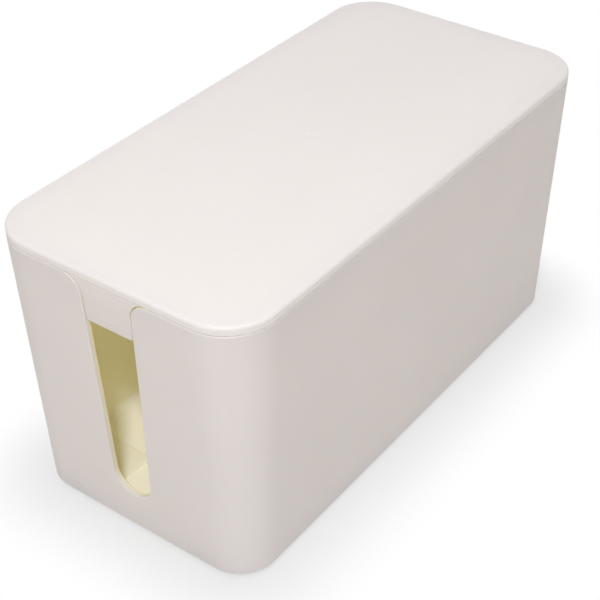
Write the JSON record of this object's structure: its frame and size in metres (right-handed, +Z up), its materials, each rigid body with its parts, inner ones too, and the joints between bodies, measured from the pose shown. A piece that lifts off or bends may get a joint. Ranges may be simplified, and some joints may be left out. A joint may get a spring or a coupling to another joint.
{
  "type": "cable management box",
  "caption": "Long moulded box with rounded corners, a cable slot in each end wall and a lift-off lid whose tongues close the slots' mouths; hides a power strip and spare leads.",
  "frame": {"origin": "on the surface that the feet stand on, under the middle of the box", "axes": "+Z up, +X along the length towards one slotted end, +Y across the box"},
  "size_m": [0.2362, 0.116, 0.122],
  "materials": {
    "body_plastic": "satin",
    "lid_plastic": "satin",
    "foot_rubber": "matte"
  },
  "bodies": {
    "box": {"box_body": "body_plastic", "foot_front_left": "foot_rubber", "foot_front_right": "foot_rubber", "foot_back_right": "foot_rubber", "foot_back_left": "foot_rubber"},
    "lid": {"lid": "lid_plastic"}
  },
  "joints": [
    {"name": "lid_lift", "type": "slide", "parent": "box", "child": "lid", "axis": [0, 0, 1], "range_m": [0, 0.1]}
  ]
}
